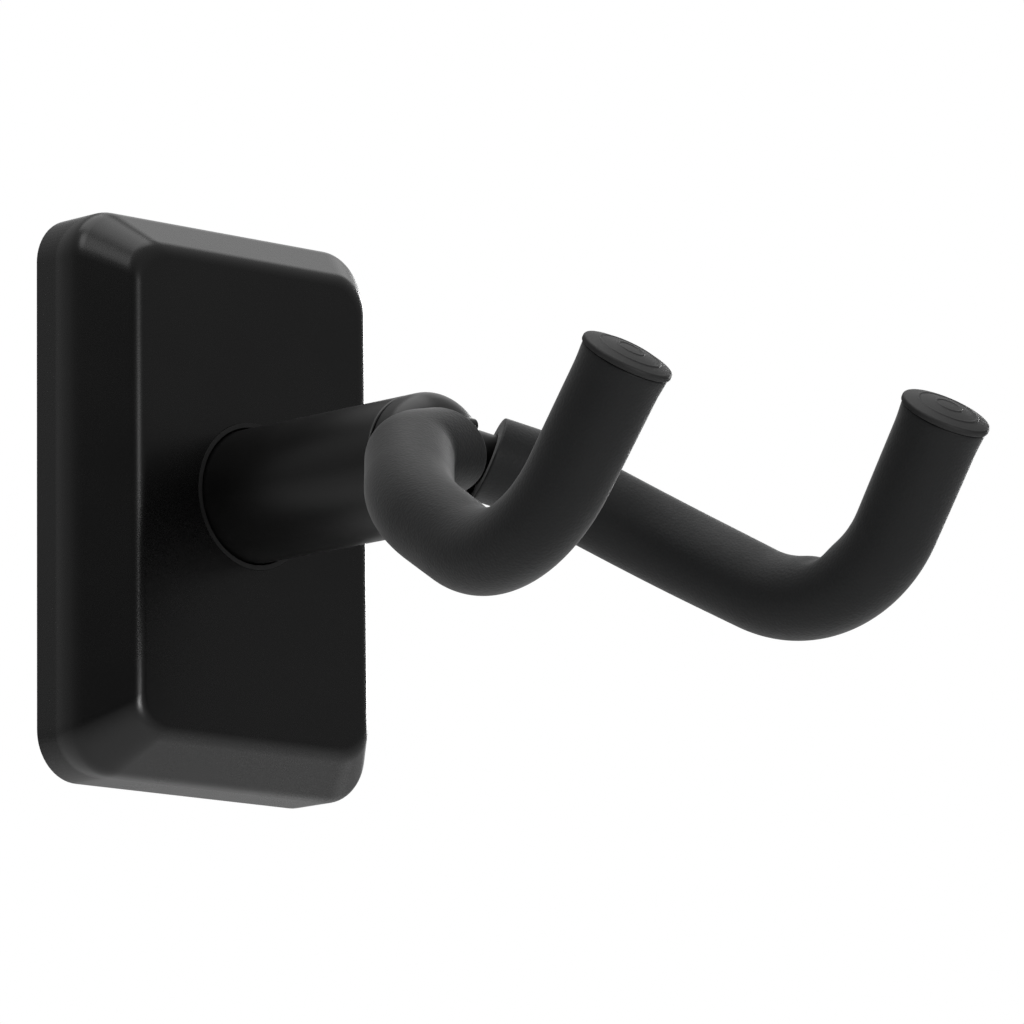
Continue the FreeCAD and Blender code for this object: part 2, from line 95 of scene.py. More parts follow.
class Graph:
    """The node tree of one material or world, with short ways to add nodes."""

    def __init__(self, tree: bpy.types.NodeTree) -> None:
        """Start from an empty tree."""
        self.tree = tree
        tree.nodes.clear()

    def node(self, kind: str, settings: dict | None = None, inputs: dict | None = None) -> bpy.types.Node:
        """Add one node.

        Args:
            kind: Blender's node type.
            settings: Attributes set before the sockets, such as a Math node's operation.
            inputs: Socket name or number to a plain value, a socket or a Value.

        Returns:
            The new node.
        """
        made = self.tree.nodes.new(kind)
        for name, value in (settings or {}).items():
            setattr(made, name, value)
        for name, value in (inputs or {}).items():
            self.feed(made.inputs[name], value)
        return made

    def feed(self, target: bpy.types.NodeSocket, value: object) -> None:
        """Link a socket or a Value into target, or set target's own value."""
        if isinstance(value, Value):
            self.tree.links.new(value.socket, target)
        elif isinstance(value, bpy.types.NodeSocket):
            self.tree.links.new(value, target)
        else:
            target.default_value = value

    def math(self, operation: str, first: "Value | float", second: "Value | float") -> Value:
        """One Math node on two numbers."""
        made = self.node("ShaderNodeMath", {"operation": operation}, {0: first, 1: second})
        return Value(self, made.outputs[0])

    def mix(self, factor: "Value | float", first: object, second: object) -> bpy.types.NodeSocket:
        """Blend two colours by factor.

        Args:
            factor: 0 gives the first colour, 1 the second.
            first: RGBA tuple or colour socket.
            second: RGBA tuple or colour socket.

        Returns:
            The blended colour's socket.
        """
        made = self.node("ShaderNodeMix", {"data_type": "RGBA"})
        self.feed(made.inputs[0], factor)
        self.feed(made.inputs[6], first)
        self.feed(made.inputs[7], second)
        return made.outputs[2]

    def place(self) -> bpy.types.NodeSocket:
        """Object coordinates, which are metres in the hanger's own frame."""
        return self.node("ShaderNodeTexCoord").outputs["Object"]

    def stretched(self, scale: tuple[float, float, float]) -> bpy.types.NodeSocket:
        """Object coordinates scaled differently along X, Y and Z."""
        made = self.node("ShaderNodeMapping", None, {"Vector": self.place(), "Scale": scale})
        return made.outputs[0]

    def noise(self, grain: float, detail: float = 2.0, where: object = None) -> Value:
        """Smooth noise between 0 and 1 whose blotches are about grain metres across."""
        coordinates = self.place() if where is None else where
        made = self.node("ShaderNodeTexNoise", {"noise_dimensions": "3D"},
                         {"Vector": coordinates, "Scale": 1.0 / grain, "Detail": detail})
        return Value(self, made.outputs[0])

    def cells(self, grain: float) -> Value:
        """Distance to the nearest of many scattered points that are about grain metres apart."""
        made = self.node("ShaderNodeTexVoronoi", {"feature": "F1"},
                         {"Vector": self.place(), "Scale": 1.0 / grain})
        return Value(self, made.outputs["Distance"])

    def towards(self, direction: bpy.types.NodeSocket, side: tuple[float, float, float]) -> Value:
        """How far a direction points to a side, from -1 to 1."""
        made = self.node("ShaderNodeVectorMath", {"operation": "DOT_PRODUCT"},
                         {0: direction, 1: tuple(Vector(side).normalized())})
        return Value(self, made.outputs["Value"])

    def bump(self, height: Value, depth: float) -> bpy.types.NodeSocket:
        """Normal bent by a height between 0 and 1 that stands for depth metres."""
        made = self.node("ShaderNodeBump", None, {"Strength": 1.0, "Distance": depth, "Height": height})
        return made.outputs[0]


def grey(level: float, warmth: float = 0.0) -> tuple[float, float, float, float]:
    """A near-neutral colour: level is its lightness, and warmth moves it to red and away from blue."""
    return (level * (1 + warmth), level, level * (1 - warmth), 1.0)


# ---------------------------------------------------------------------------------------------
# Finishes
# ---------------------------------------------------------------------------------------------
@dataclass(frozen=True)
class Finish:
    """What every surface finish shares: a name, a colour, a gloss, and how they vary."""

    name: str
    colour: tuple[float, float, float, float]
    second_colour: tuple[float, float, float, float]
    roughness: float
    metallic: float = 0.0

    def build(self) -> bpy.types.Material:
        """Make the material, with this finish's own nodes on its shader."""
        material = bpy.data.materials.new(self.name)
        material.use_nodes = True
        graph = Graph(material.node_tree)
        shader = graph.node("ShaderNodeBsdfPrincipled")
        shader.inputs["Metallic"].default_value = self.metallic
        output = graph.node("ShaderNodeOutputMaterial")
        graph.tree.links.new(shader.outputs[0], output.inputs["Surface"])
        self.dress(graph, shader)
        return material

    def dress(self, graph: Graph, shader: bpy.types.Node) -> None:
        """Feed the shader; each finish has its own."""
        raise NotImplementedError


@dataclass(frozen=True)
class PowderCoat(Finish):
    """Sprayed and baked coat on steel: an even fine orange peel over slow waves."""

    peel: float = 0.45 * MM
    peel_depth: float = 0.010 * MM

    def dress(self, graph: Graph, shader: bpy.types.Node) -> None:
        """Colour and gloss drift slowly, and the peel bends the normal."""
        drift = graph.noise(14 * MM)
        peel = graph.noise(self.peel, 3.0)
        shade = drift * 0.6 + peel * 0.4
        graph.feed(shader.inputs["Base Color"], graph.mix(shade, self.colour, self.second_colour))
        graph.feed(shader.inputs["Roughness"], drift * 0.08 + peel * 0.06 + (self.roughness - 0.07))
        graph.feed(shader.inputs["Normal"], graph.bump(peel, self.peel_depth))


@dataclass(frozen=True)
class Moulded(Finish):
    """Injection-moulded plastic: polished tool marks, a faint sink wave and light handling haze."""

    wave_depth: float = 0.012 * MM

    def dress(self, graph: Graph, shader: bpy.types.Node) -> None:
        """A very fine grain and a slow haze set the gloss, and a slow wave bends the normal."""
        haze = graph.noise(22 * MM, 4.0)
        grain = graph.noise(0.28 * MM, 2.0)
        wave = graph.noise(9 * MM, 1.0)
        graph.feed(shader.inputs["Base Color"], graph.mix(haze, self.colour, self.second_colour))
        graph.feed(shader.inputs["Roughness"], haze * 0.07 + grain * 0.05 + (self.roughness - 0.06))
        graph.feed(shader.inputs["Normal"], graph.bump(wave * 0.6 + grain * 0.4, self.wave_depth))


@dataclass(frozen=True)
class Foam(Finish):
    """Closed-cell foam with a soft skin: tiny cells, larger pits and a velvety sheen."""

    cell: float = 0.55 * MM
    cell_depth: float = 0.05 * MM

    def dress(self, graph: Graph, shader: bpy.types.Node) -> None:
        """Cells set the relief and the pits add to it. The colour is a random cloud of tone plus painted
        shade, a little darker where the pits' relief is low.
        """
        cells = graph.cells(self.cell)
        pits = graph.noise(1.6 * MM, 4.0)
        cloud = graph.noise(11 * MM, 3.0)
        # painted shade: low values of the pits noise, the hollows of the relief, are mixed towards the darker
        # colour; the cloud is random tone
        shade = (cloud * 0.6 + pits * 0.5 - 0.05).clamped()
        graph.feed(shader.inputs["Base Color"], graph.mix(shade, self.colour, self.second_colour))
        graph.feed(shader.inputs["Roughness"], pits * 0.12 + (self.roughness - 0.06))
        graph.feed(shader.inputs["Normal"], graph.bump(cells * 0.7 + pits * 0.5, self.cell_depth))
        shader.inputs["Specular IOR Level"].default_value = 0.3
        shader.inputs["Sheen Weight"].default_value = 0.22
        shader.inputs["Sheen Roughness"].default_value = 0.4


@dataclass(frozen=True)
class Rubber(Finish):
    """Moulded rubber: dull, finely grained, with a dusty bloom."""

    grain: float = 0.22 * MM
    grain_depth: float = 0.018 * MM

    def dress(self, graph: Graph, shader: bpy.types.Node) -> None:
        """Fine grain for the relief and a cloudy bloom for colour and gloss."""
        grain = graph.noise(self.grain, 3.0)
        bloom = graph.noise(5 * MM, 4.0)
        graph.feed(shader.inputs["Base Color"], graph.mix(bloom, self.colour, self.second_colour))
        graph.feed(shader.inputs["Roughness"], bloom * 0.14 + (self.roughness - 0.07))
        graph.feed(shader.inputs["Normal"], graph.bump(grain, self.grain_depth))
        shader.inputs["Specular IOR Level"].default_value = 0.35


@dataclass(frozen=True)
class BareMetal(Finish):
    """Plated or turned metal: fine lines in one direction and a few dull patches."""

    lines: tuple[float, float, float] = (1.0, 12.0, 1.0)
    line_grain: float = 0.5 * MM
    line_depth: float = 0.006 * MM

    def dress(self, graph: Graph, shader: bpy.types.Node) -> None:
        """Stretched noise makes the lines, and slow noise the patches."""
        lines = graph.noise(self.line_grain, 2.0, graph.stretched(self.lines))
        patches = graph.noise(7 * MM, 3.0)
        shade = patches * 0.7 + lines * 0.3
        graph.feed(shader.inputs["Base Color"], graph.mix(shade, self.colour, self.second_colour))
        graph.feed(shader.inputs["Roughness"], patches * 0.16 + lines * 0.10 + (self.roughness - 0.12))
        graph.feed(shader.inputs["Normal"], graph.bump(lines, self.line_depth))


class Slot(Enum):
    """The record's material slots."""

    BLACK_POWDER = "black_powder"
    BLACK_MOULDED = "black_moulded"
    BLACK_RUBBER = "black_rubber"
    BLACK_FOAM = "black_foam"
    ZINC_STEEL = "zinc_steel"
    SPRING_STEEL = "spring_steel"
    BRONZE = "bronze"
    WHITE_NYLON = "white_nylon"
    BLUE_NYLON = "blue_nylon"


FINISHES: dict[Slot, Finish] = {
    Slot.BLACK_POWDER: PowderCoat("powder_black", grey(0.002), grey(0.004), 0.34),
    Slot.BLACK_MOULDED: Moulded("moulded_black", grey(0.001), grey(0.003), 0.27),
    Slot.BLACK_RUBBER: Rubber("rubber_black", grey(0.010), grey(0.018), 0.55),
    Slot.BLACK_FOAM: Foam("foam_black", grey(0.004, -0.06), grey(0.008, -0.06), 0.56),
    Slot.ZINC_STEEL: BareMetal("zinc_plate", grey(0.55, 0.01), grey(0.68, -0.02), 0.34, 1.0),
    Slot.SPRING_STEEL: BareMetal("spring_steel", grey(0.26), grey(0.36, 0.04), 0.40, 1.0),
    Slot.BRONZE: BareMetal("turned_bronze", (0.55, 0.33, 0.14, 1), (0.64, 0.42, 0.20, 1), 0.36, 1.0),
    Slot.WHITE_NYLON: Rubber("nylon_natural", grey(0.66, 0.03), grey(0.72, 0.02), 0.42),
    Slot.BLUE_NYLON: Rubber("nylon_blue", (0.03, 0.09, 0.30, 1), (0.04, 0.11, 0.34, 1), 0.42),
}


# ---------------------------------------------------------------------------------------------
# Surfaces
# ---------------------------------------------------------------------------------------------
def unit(vectors: np.ndarray) -> np.ndarray:
    """Each vector over its own length, along the last axis."""
    return vectors / np.linalg.norm(vectors, axis=-1, keepdims=True)


def make_surface(name: str, points: np.ndarray, close_rows: bool = True) -> bpy.types.Object:
    """Turn a grid of points into a smooth-shaded object.

    Neighbouring points of the grid are joined by four-sided faces. Points that fall together, as
    at a pole, are merged, and the faces are then turned outwards.

    Args:
        name: The object's name.
        points: Rows by columns by 3, in metres.
        close_rows: Whether the last row joins the first. The last column always does.

    Returns:
        The new object, linked into the scene.
    """
    rows, columns = points.shape[:2]
    row = np.arange(rows if close_rows else rows - 1)
    row, column = np.meshgrid(row, np.arange(columns), indexing="ij")
    next_row = (row + 1) % rows
    next_column = (column + 1) % columns
    corners = np.stack([row * columns + column, next_row * columns + column,
                        next_row * columns + next_column, row * columns + next_column], axis=-1)
    mesh = bpy.data.meshes.new(name)
    mesh.from_pydata(points.reshape(-1, 3).tolist(), [], corners.reshape(-1, 4).tolist())
    shaped = bmesh.new()
    shaped.from_mesh(mesh)
    bmesh.ops.remove_doubles(shaped, verts=shaped.verts, dist=SAME_POINT)
    bmesh.ops.recalc_face_normals(shaped, faces=shaped.faces)
    shaped.to_mesh(mesh)
    shaped.free()
    mesh.shade_smooth()
    made = bpy.data.objects.new(name, mesh)
    bpy.context.scene.collection.objects.link(made)
    return made


def rounded_outline(corners: list[tuple[float, float, float]], closed: bool = True,
                    arc_steps: int = 8, edge_gap: float = 0.12 * MM) -> np.ndarray:
    """A plane outline whose corners are rounded by arcs.

    Each corner with radius r becomes an arc tangent to its two sides, which starts at
    r / tan(half the corner's angle) from the corner. A straight side keeps one more point close
    to each of its ends, so that smooth shading stays flat along it.

    Args:
        corners: (first coordinate, second coordinate, radius) of each corner, in metres.
        closed: Whether the last corner joins the first.
        arc_steps: Points along each arc.
        edge_gap: How far that extra point stands from a side's end.

    Returns:
        The outline's points, count by 2.
    """
    places = np.array([corner[:2] for corner in corners])
    count = len(corners)
    pieces: list[np.ndarray] = []
    for index, (_, _, radius) in enumerate(corners):
        here = places[index]
        if not closed and index in (0, count - 1):
            pieces.append(here[None])
            continue
        to_back = unit(places[index - 1] - here)
        to_next = unit(places[(index + 1) % count] - here)
        half = math.acos(float(np.clip(to_back @ to_next, -1, 1))) / 2
        run_out = radius / math.tan(half)
        start = here + to_back * run_out
        end = here + to_next * run_out
        centre = here + unit(to_back + to_next) * (radius / math.sin(half))
        turn = math.pi - 2 * half
        angle = np.linspace(0, turn, arc_steps)[:, None]
        arc = centre + (start - centre) * np.cos(angle) - to_back * radius * np.sin(angle)
        before = (start + to_back * edge_gap)[None]
        after = (end + to_next * edge_gap)[None]
        pieces.append(np.concatenate([before, arc, after]))
    return np.concatenate(pieces)


def revolved(outline: np.ndarray, centre: Vector, along: Vector, steps: int = 128) -> np.ndarray:
    """Turn an outline of (radius, distance along the axis) about an axis.

    A point is centre + distance * along + radius * (cos(angle) * side + sin(angle) * other side).

    Args:
        outline: Points by 2.
        centre: A point on the axis.
        along: The axis.
        steps: Points round the axis.

    Returns:
        Outline points by steps by 3.
    """
    axis = unit(np.array(along))
    helper = np.array((1.0, 0.0, 0.0)) if abs(axis[0]) < 0.8 else np.array((0.0, 0.0, 1.0))
    side = unit(np.cross(axis, helper))
    other = np.cross(axis, side)
    angle = np.linspace(0, 2 * math.pi, steps, endpoint=False)[None, :, None]
    radius = outline[:, 0][:, None, None]
    distance = outline[:, 1][:, None, None]
    return np.array(centre) + distance * axis + radius * (np.cos(angle) * side + np.sin(angle) * other)


@dataclass(frozen=True)
class BentPath:
    """A rod's centreline: straight runs joined by tangent arcs."""

    corners: np.ndarray
    radii: tuple[float, ...]

    def pieces(self) -> list[tuple[str, float, np.ndarray, np.ndarray, np.ndarray, float]]:
        """The runs and arcs in order, as (kind, length, start, direction, towards arc centre, radius)."""
        found = []
        cursor = self.corners[0]
        for index, radius in enumerate(self.radii, start=1):
            corner = self.corners[index]
            to_back = unit(self.corners[index - 1] - corner)
            to_next = unit(self.corners[index + 1] - corner)
            half = math.acos(float(to_back @ to_next)) / 2
            start = corner + to_back * radius / math.tan(half)
            centre = corner + unit(to_back + to_next) * radius / math.sin(half)
            run = float(np.linalg.norm(start - cursor))
            arc = radius * (math.pi - 2 * half)
            found.append(("run", run, cursor, -to_back, to_back, 0.0))
            found.append(("arc", arc, start, -to_back, unit(centre - start), radius))
            cursor = corner + to_next * radius / math.tan(half)
        last = self.corners[-1]
        found.append(("run", float(np.linalg.norm(last - cursor)), cursor, unit(last - cursor), cursor, 0.0))
        return found

    def length(self) -> float:
        """Length from the first corner to the last along the runs and arcs."""
        return sum(piece[1] for piece in self.pieces())

    def at(self, distance: np.ndarray) -> tuple[np.ndarray, np.ndarray]:
        """Points and directions at distances along the path.

        On a run the point is start + t * direction. On an arc of radius R it is
        start + R * sin(t / R) * direction + R * (1 - cos(t / R)) * towards the centre.

        Args:
            distance: Distances from the first corner.

        Returns:
            Points and unit directions, each count by 3.
        """
        points = np.zeros((len(distance), 3))
        directions = np.zeros((len(distance), 3))
        passed = 0.0
        for kind, length, start, direction, inward, radius in self.pieces():
            here = distance >= passed - 1e-9
            t = (distance[here] - passed)[:, None]
            if kind == "run":
                points[here] = start + t * direction
                directions[here] = direction
            else:
                turn = t / radius
                points[here] = start + radius * (np.sin(turn) * direction + (1 - np.cos(turn)) * inward)
                directions[here] = np.cos(turn) * direction + np.sin(turn) * inward
            passed += length
        return points, directions

    def last_bend(self) -> tuple[float, float, np.ndarray]:
        """Distance to the last arc's middle, its length, and the normal of its plane."""
        pieces = self.pieces()
        passed = sum(piece[1] for piece in pieces[:-2])
        _, length, _, direction, inward, _ = pieces[-2]
        return passed + length / 2, length, np.cross(direction, inward)


def post_axis() -> Vector:
    """Where the post's axis meets the wall."""
    low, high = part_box("post_tube")
    return Vector(((low.x + high.x) / 2, 0.0, (low.z + high.z) / 2))


def around(directions: np.ndarray) -> tuple[np.ndarray, np.ndarray]:
    """Two unit vectors square to each direction, worked out from one fixed slanting vector."""
    slant = np.array((0.0, 0.6, 0.8))
    first = unit(slant - (directions @ slant)[:, None] * directions)
    return first, np.cross(directions, first)


# ---------------------------------------------------------------------------------------------
# Sub-assemblies
# ---------------------------------------------------------------------------------------------
@dataclass
class Dresser:
    """Gives new pieces and CAD nodes their materials and says what they ride on."""

    nodes: dict[str, bpy.types.Object]
    materials: dict[Slot, bpy.types.Material] = field(default_factory=dict)

    def material(self, slot: Slot) -> bpy.types.Material:
        """The slot's material, built the first time it is asked for."""
        if slot not in self.materials:
            self.materials[slot] = FINISHES[slot].build()
        return self.materials[slot]

    def piece(self, made: bpy.types.Object, body: str, slot: Slot, *replaced: str) -> bpy.types.Object:
        """Finish a new piece.

        Args:
            made: The object.
            body: The CAD body that it rides on.
            slot: Its material slot.
            replaced: The CAD nodes that it stands for.

        Returns:
            The same object.
        """
        made.data.materials.append(self.material(slot))
        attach(made, body)
        if replaced:
            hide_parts(*replaced)
        LOG.info("%s: %d faces on %s", made.name, len(made.data.polygons), body)
        return made

    def carried(self, node: str, slot: Slot) -> None:
        """Give a CAD node that stays in view its material."""
        kept = self.nodes[node]
        kept.data.materials.clear()
        kept.data.materials.append(self.material(slot))
        LOG.info("%s: CAD shape kept, finish %s", node, slot.value)


@dataclass
class WallCover:
    """The chamfered cover shell and the ring in its hole."""

    chamfer: float = 7.4 * MM
    side_depth: float = 11.4 * MM
    corner: float = 9.3 * MM
    corner_shrink: float = 0.35
    wall: float = 2.4 * MM
    wall_gap: float = 0.3 * MM
    back_edge: float = 0.35 * MM
    face_margin: float = 3.0 * MM
    inner_step: float = 1.0 * MM
    inner_rounds: tuple[float, float] = (0.8 * MM, 1.2 * MM)
    shoulder: float = 4.4 * MM
    face_round: float = 3.8 * MM
    hole: float = 13.8 * MM
    bore: float = 13.0 * MM
    lip: float = 13.95 * MM
    lip_height: float = 0.05 * MM
    flange_width: float = 1.6 * MM
    flange_thick: float = 1.4 * MM
    flange_edge: float = 0.2 * MM

    def section(self, depth: float) -> tuple[np.ndarray, np.ndarray]:
        """The wall's section: the outside up to the face, and the inside back to the wall.

        Args:
            depth: Distance from the wall to the face.

        Returns:
            Two outlines of (how far it stands in, distance from the wall).
        """
        inside = self.wall
        outer = [
            (0.0, self.wall_gap, self.back_edge),
            (0.0, self.side_depth, self.shoulder),
            (self.chamfer, depth, self.face_round),
            (self.chamfer + self.face_margin, depth, 0.0),
        ]
        inner = [
            (self.chamfer + inside + 2.0 * MM, depth - inside, 0.0),
            (self.chamfer + inside * 0.55, depth - inside, self.inner_rounds[0]),
            (inside + 0.9 * MM, self.side_depth - self.inner_step, self.inner_rounds[1]),
            (inside, self.wall_gap, self.back_edge),
        ]
        return rounded_outline(outer, closed=False), rounded_outline(inner, closed=False)

    def ring(self, inset: np.ndarray, depth: np.ndarray, half_width: float, half_height: float) -> np.ndarray:
        """Rounded rectangles, one for each (inset, depth).

        Each quarter is a straight stretch, an arc of the corner's radius and a straight stretch,
        all with the same number of points, so that the rings line up into a grid.

        Args:
            inset: How far each ring stands in from the outside.
            depth: How far each ring is from the wall.
            half_width: Half of the cover's width.
            half_height: Half of the cover's height.

        Returns:
            Rings by points by 3.
        """
        radius = np.maximum(self.corner - self.corner_shrink * inset, 1.5 * MM)
        angle = np.linspace(0, math.pi / 2, 17)
        quarter = []
        for turn in range(4):
            sign_x = (1, -1, -1, 1)[turn]
            sign_z = (1, 1, -1, -1)[turn]
            swept = angle if turn % 2 == 0 else angle[::-1]
            centre_x = half_width - inset - radius
            centre_z = half_height - inset - radius
            x = sign_x * (centre_x[:, None] + radius[:, None] * np.cos(swept))
            z = sign_z * (centre_z[:, None] + radius[:, None] * np.sin(swept))
            quarter.append(np.stack([x, -np.broadcast_to(depth[:, None], x.shape), z], axis=-1))
        stretched = []
        for turn in range(4):
            stretched.append(quarter[turn])
            start = quarter[turn][:, -1:]
            end = quarter[(turn + 1) % 4][:, :1]
            step = np.concatenate([[0.004], np.linspace(0, 1, 14)[1:-1], [0.996]])[None, :, None]
            stretched.append(start + (end - start) * step)
        return np.concatenate(stretched, axis=1)

    def build_shell(self) -> bpy.types.Object:
        """The shell: rings up the outside, a face that closes in to the round hole, and back down the inside.

        On the face a point is (1 - t) * its place on the rectangle + t * the point of the hole's
        circle in the same direction.
        """
        low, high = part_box("plate_cover")
        half_width = high.x
        half_height = high.z
        depth = -low.y
        outer, inner = self.section(depth)
        outside = self.ring(outer[:, 0], outer[:, 1], half_width, half_height)
        inside = self.ring(inner[:, 0], inner[:, 1], half_width, half_height)
        face = self.towards_hole(outside[-1], self.hole)
        back_face = self.towards_hole(inside[0], self.hole)[::-1]
        return make_surface("cover_shell", np.concatenate([outside, face, back_face, inside]))

    def towards_hole(self, rim: np.ndarray, radius: float) -> np.ndarray:
        """Rows from a flat rim to a circle of that radius about the post's axis."""
        middle = np.array(post_axis())
        outward = (rim - middle) * np.array((1, 0, 1))
        circle = (middle + unit(outward) * radius) * np.array((1, 0, 1)) + rim * np.array((0, 1, 0))
        t = np.concatenate([[0.01], np.linspace(0, 1, 12)[1:-1], [0.99, 1.0]])[:, None, None]
        return rim[None] * (1 - t) + circle[None] * t

    def build_ring(self) -> bpy.types.Object:
        """The rubber ring in the hole, a turned section with a slim rounded lip."""
        front = -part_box("plate_cover")[0].y
        back = front - self.wall
        section = rounded_outline([
            (self.bore, back - self.flange_thick, self.flange_edge),
            (self.lip + self.flange_width, back - self.flange_thick, self.flange_edge),
            (self.lip + self.flange_width, back, self.flange_edge),
            (self.hole, back, 0.1 * MM),
            (self.hole, front, 0.0),
            (self.lip, front, 0.0),
            (self.lip, front + self.lip_height, 0.02 * MM),
            (self.bore, front + self.lip_height, 0.1 * MM),
        ], arc_steps=5, edge_gap=0.03 * MM)
        return make_surface("cover_ring", revolved(section, post_axis(), FORWARD))

    def dress(self, dresser: Dresser) -> None:
        """Build both pieces and put them on the cover's body."""
        dresser.piece(self.build_shell(), "cover", Slot.BLACK_MOULDED, "plate_cover")
        dresser.piece(self.build_ring(), "cover", Slot.BLACK_RUBBER, "cover_grommet")


@dataclass
class Post:
    """The round tube that stands out from the wall."""

    wall: float = 2.0 * MM

    def build(self) -> bpy.types.Object:
        """The tube, a turned section with rounded rims."""
        low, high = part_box("post_tube")
        radius = high.x
        section = rounded_outline([
            (radius, -high.y, 0.2 * MM),
            (radius, -low.y, 0.5 * MM),
            (radius - self.wall, -low.y, 0.3 * MM),
            (radius - self.wall, -high.y, 0.2 * MM),
        ])
        return make_surface("post", revolved(section, post_axis(), FORWARD, 160))

    def dress(self, dresser: Dresser) -> None:
        """Build the tube and put it on the bracket."""
        dresser.piece(self.build(), "bracket", Slot.BLACK_POWDER, "post_tube")


@dataclass
class Yoke:
    """The bent rod, the foam on its two arms and the caps on its tips."""

    corners: tuple[tuple[float, float, float], ...] = (
        (0.0, -76.9, 2.1),
        (16.1, -80.7, -1.3),
        (32.6, -98.2, -14.8),
        (41.8, -134.6, -35.0),
        (39.8, -161.2, 2.1),
    )
    bend_radii: tuple[float, float, float] = (10.5 * MM, 43.8 * MM, 24.4 * MM)
    middle_bend: float = 12.0 * MM
    rod_radius: float = 4.5 * MM
    tip_gap: float = 0.05 * MM
    tip_edge: float = 0.15 * MM
    bore: float = 4.6 * MM
    foam_start: float = 6.1 * MM
    foam_cut: tuple[float, float, float] = (0.78, -0.50, -0.37)
    foam_radius: float = 8.1 * MM
    foam_bend_radius: float = 7.6 * MM
    foam_tip_radius: float = 7.85 * MM
    foam_flare: float = 0.25 * MM
    foam_flare_length: float = 2.6 * MM
    foam_step_length: float = 6.0 * MM
    foam_dip_spread: float = 0.75
    foam_edge: float = 0.45 * MM
    foam_slant_reach: float = 7.0 * MM
    crease_depth: float = 1.1 * MM
    crease_length: float = 3.4 * MM
    crease_breadth: float = 0.2
    cap_radius: float = 8.4 * MM
    cap_flange: float = 1.2 * MM
    cap_thick: float = 2.2 * MM
    cap_seat: float = 1.2 * MM
    cap_edge: float = 0.5 * MM
    cap_line: float = 0.26 * MM
    cap_relief: float = 0.13 * MM
    cap_rings: tuple[float, float] = (2.4 * MM, 5.7 * MM)
    stem_radius: float = 2.5 * MM
    stem_length: float = 11.0 * MM
    stem_end_gap: float = 0.6 * MM

    def arm_corners(self, side: int) -> np.ndarray:
        """Corners of one arm's centreline, from the middle of the hanger to the tip."""
        return np.array(self.corners) * MM * np.array((side, 1, 1))

    def arm(self, side: int) -> BentPath:
        """One arm's centreline."""
        return BentPath(self.arm_corners(side), self.bend_radii)

    def seat(self) -> float:
        """Distance along an arm to the underside of its cap."""
        return self.arm(1).length() - self.cap_seat

    def carried(self, path: BentPath, distance: np.ndarray, radius: np.ndarray, steps: int) -> np.ndarray:
        """A surface round a centreline.

        A point is the centreline's point at its distance, plus its radius times
        cos(angle) * one side + sin(angle) * the other side.

        Args:
            path: The centreline.
            distance: Rows, or rows by steps.
            radius: Rows, or rows by steps.
            steps: Points round the centreline.

        Returns:
            Rows by steps by 3.
        """
        shape = (distance.shape[0], steps)
        spread = np.broadcast_to(distance.reshape(shape[0], -1), shape)
        width = np.broadcast_to(radius.reshape(shape[0], -1), shape)
        points, directions = path.at(spread.ravel())
        first, second = around(directions)
        angle = np.broadcast_to(np.linspace(0, 2 * math.pi, steps, endpoint=False), shape).reshape(-1, 1)
        ring = np.cos(angle) * first + np.sin(angle) * second
        return (points + width.reshape(-1, 1) * ring).reshape(*shape, 3)

    def ring_at(self, path: BentPath, distance: np.ndarray, steps: int) -> np.ndarray:
        """Unit vectors from the centreline to each point that carried() makes."""
        flat = self.carried(path, distance, np.zeros_like(distance), steps)
        return (self.carried(path, distance, np.full_like(distance, MM), steps) - flat) / MM

    def build_rod(self) -> bpy.types.Object:
        """One bar along both arms, with a blind bore in each tip for the cap's stem."""
        left = self.arm_corners(-1)[:0:-1]
        path = BentPath(np.concatenate([left, self.arm_corners(1)]),
                        self.bend_radii[::-1] + (self.middle_bend,) + self.bend_radii)
        trim = self.cap_seat + self.tip_gap
        whole = path.length()
        floor = trim + self.stem_length + self.stem_end_gap
        edge = self.tip_edge
        tip = np.array([floor, floor, trim, trim, trim, trim + edge, trim + 2 * edge])
        tip_radius = np.array([0.0, self.stem_radius, self.stem_radius, self.stem_radius + edge,
                               self.rod_radius - edge, self.rod_radius, self.rod_radius])
        along = np.linspace(tip[-1] + edge, whole - tip[-1] - edge, 280)
        distance = np.concatenate([tip, along, whole - tip[::-1]])
        radius = np.concatenate([tip_radius, np.full(len(along), self.rod_radius), tip_radius[::-1]])
        return make_surface("rod", self.carried(path, distance, radius, 64), close_rows=False)

    def foam_profile(self, path: BentPath, distance: np.ndarray) -> np.ndarray:
        """Outer radius of the foam along an arm.

        It is the free radius, less a bell-shaped dip at the last bend where the foam is stretched,
        a slow step down towards the tip, and a short flare against the cap.
        """
        middle, length, _ = path.last_bend()
        dip = np.exp(-((distance - middle) / (self.foam_dip_spread * length)) ** 2)
        to_tip = 1 / (1 + np.exp(-(distance - middle) / self.foam_step_length))
        flare = np.exp(-((self.seat() - distance) / self.foam_flare_length) ** 2)
        free = self.foam_radius + (self.foam_tip_radius - self.foam_radius) * to_tip
        bend = self.foam_bend_radius - (self.foam_radius + self.foam_tip_radius) / 2
        return free + bend * dip + self.foam_flare * flare

